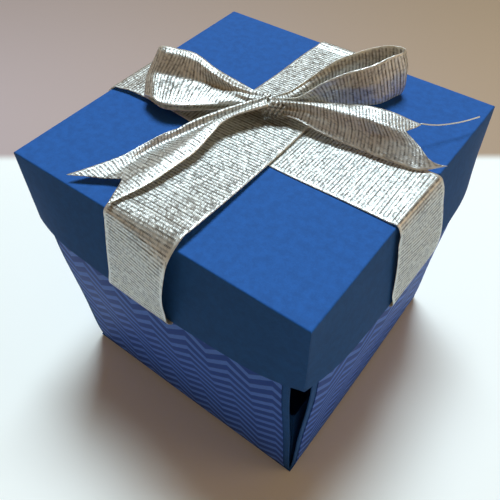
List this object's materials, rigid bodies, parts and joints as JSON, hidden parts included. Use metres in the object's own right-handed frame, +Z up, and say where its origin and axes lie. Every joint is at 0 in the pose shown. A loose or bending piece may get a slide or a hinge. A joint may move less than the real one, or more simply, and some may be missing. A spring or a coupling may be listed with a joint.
{
  "type": "explosion box",
  "caption": "Square paper-craft gift box: loose folded walls held upright by a bulging lid crossed by metallic ribbon with a tied bow; lifting the lid lets the walls fall open.",
  "frame": {"origin": "centre of the floor's underside, which is the centre of the whole box's footprint", "axes": "+Z up, the way the lid lifts off; -Y towards the front wall, +X towards the right wall"},
  "size_m": [0.1152, 0.1152, 0.1211],
  "materials": {
    "plain_card": "matt, fine fibre, dyed blue",
    "zigzag_paper": "matt print, pale blue zigzag lines on blue",
    "plain_paper": "matt, pale blue",
    "lame_ribbon": "metallic silver yarn, cross-ribbed weave, sparkling"
  },
  "bodies": {
    "base": {"base_sheet": "plain_card", "inner_sheet": "plain_card", "floor_mat": "plain_paper", "panel_front": "zigzag_paper", "panel_right": "zigzag_paper", "panel_back": "zigzag_paper", "panel_left": "zigzag_paper", "mat_front": "plain_paper", "mat_right": "plain_paper", "mat_back": "plain_paper", "mat_left": "plain_paper"},
    "lid": {"lid_sheet": "plain_card", "ribbon_over": "lame_ribbon", "ribbon_under": "lame_ribbon", "ribbon_bow": "lame_ribbon"}
  },
  "joints": [
    {"name": "lid_lift", "type": "slide", "parent": "base", "child": "lid", "axis": [0, 0, 1], "range_m": [0, 0.045]}
  ]
}
